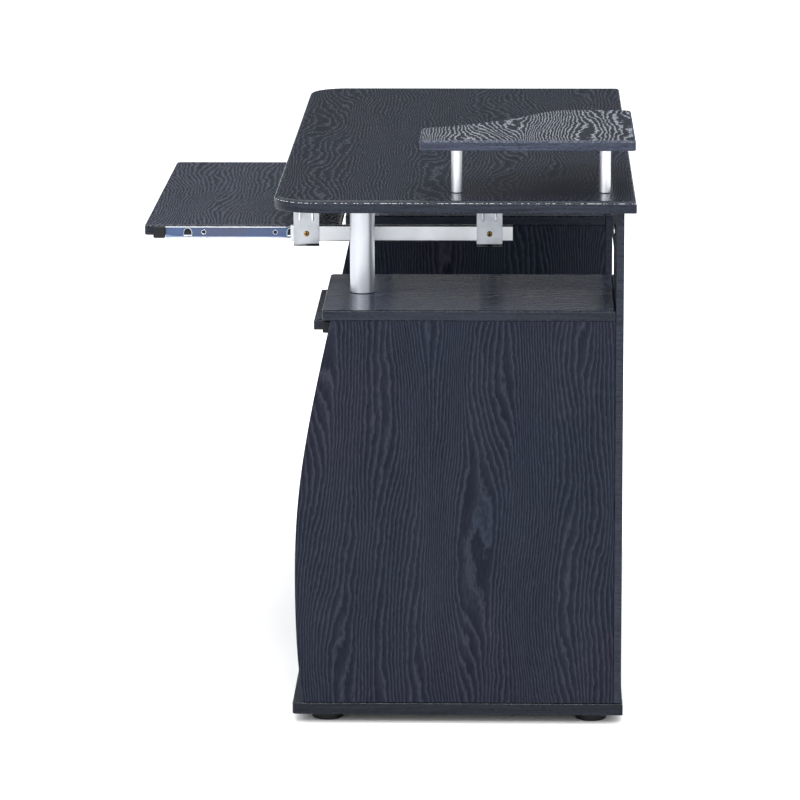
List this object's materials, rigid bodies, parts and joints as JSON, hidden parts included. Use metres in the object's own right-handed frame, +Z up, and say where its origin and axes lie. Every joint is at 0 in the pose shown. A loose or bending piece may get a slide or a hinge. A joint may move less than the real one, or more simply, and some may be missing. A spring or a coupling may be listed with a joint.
{
  "type": "computer desk",
  "caption": "Computer desk with bulging side pedestals, a desktop on columns, a raised corner shelf, a sliding keyboard tray and a pull-out side board.",
  "frame": {"origin": "on the floor, in the middle of the width, halfway between the front of the pulled-out tray and the back of the desktop", "axes": "+X to the sitter's right, +Y to the back of the desk, +Z up"},
  "size_m": [1.2, 0.729, 0.8652],
  "materials": {
    "wood_board": "semi-gloss black oak laminate with embossed grain",
    "silver_tube": "satin silver",
    "zinc_sheet": "zinc plated, satin",
    "blue_zinc": "blue zinc plated, satin",
    "brass_screw": "polished",
    "black_plastic": "moulded, matt"
  },
  "bodies": {
    "desk": {"desktop": "wood_board", "raised_shelf": "wood_board", "right_fixed_shelf": "wood_board", "modesty_panel": "wood_board", "right_outer_side_panel": "wood_board", "right_inner_side_panel": "wood_board", "right_pedestal_top": "wood_board", "right_base_board": "wood_board", "right_back_board": "wood_board", "right_column": "silver_tube", "right_front_outer_glide": "black_plastic", "right_front_inner_glide": "black_plastic", "right_front_tray_bracket": "zinc_sheet", "right_front_bracket_screw": "brass_screw", "right_rear_outer_glide": "black_plastic", "right_rear_inner_glide": "black_plastic", "right_rear_tray_bracket": "zinc_sheet", "right_rear_bracket_screw": "brass_screw", "right_outer_cam_lock": "zinc_sheet", "right_inner_cam_lock": "zinc_sheet", "right_tray_outer_rail": "zinc_sheet", "left_outer_side_panel": "wood_board", "left_inner_side_panel": "wood_board", "left_pedestal_top": "wood_board", "left_base_board": "wood_board", "left_back_board": "wood_board", "left_column": "silver_tube", "left_front_outer_glide": "black_plastic", "left_front_inner_glide": "black_plastic", "left_front_tray_bracket": "zinc_sheet", "left_front_bracket_screw": "brass_screw", "left_rear_outer_glide": "black_plastic", "left_rear_inner_glide": "black_plastic", "left_rear_tray_bracket": "zinc_sheet", "left_rear_bracket_screw": "brass_screw", "left_outer_cam_lock": "zinc_sheet", "left_inner_cam_lock": "zinc_sheet", "left_tray_outer_rail": "zinc_sheet", "shelf_post_front": "silver_tube", "shelf_post_rear": "silver_tube", "shelf_post_inner_rear": "silver_tube", "pull_out_outer_fixed_rail": "zinc_sheet", "pull_out_inner_fixed_rail": "zinc_sheet"},
    "keyboard_tray": {"keyboard_tray": "wood_board", "right_tray_inner_rail": "blue_zinc", "right_tray_rail_cap": "black_plastic", "left_tray_inner_rail": "blue_zinc", "left_tray_rail_cap": "black_plastic"},
    "tray_ball_retainers": {"right_tray_ball_retainer": "zinc_sheet", "left_tray_ball_retainer": "zinc_sheet"},
    "pull_out_board": {"pull_out_board": "wood_board", "pull_out_outer_sliding_rail": "blue_zinc", "pull_out_outer_rail_cap": "black_plastic", "pull_out_inner_sliding_rail": "blue_zinc", "pull_out_inner_rail_cap": "black_plastic"},
    "pull_out_ball_retainers": {"pull_out_outer_ball_retainer": "zinc_sheet", "pull_out_inner_ball_retainer": "zinc_sheet"}
  },
  "joints": [
    {"name": "keyboard_tray_slide", "type": "slide", "parent": "desk", "child": "keyboard_tray", "axis": [0, 1, 0], "range_m": [0, 0.208]},
    {"name": "tray_ball_travel", "type": "slide", "parent": "desk", "child": "tray_ball_retainers", "axis": [0, 1, 0], "range_m": [0, 0.104]},
    {"name": "pull_out_board_slide", "type": "slide", "parent": "desk", "child": "pull_out_board", "axis": [0, -1, 0], "range_m": [0, 0.23]},
    {"name": "pull_out_ball_travel", "type": "slide", "parent": "desk", "child": "pull_out_ball_retainers", "axis": [0, -1, 0], "range_m": [0, 0.115]}
  ],
  "couplings": [
    {"joint": "tray_ball_travel", "follows": "keyboard_tray_slide", "ratio": 0.5},
    {"joint": "pull_out_ball_travel", "follows": "pull_out_board_slide", "ratio": 0.5}
  ]
}
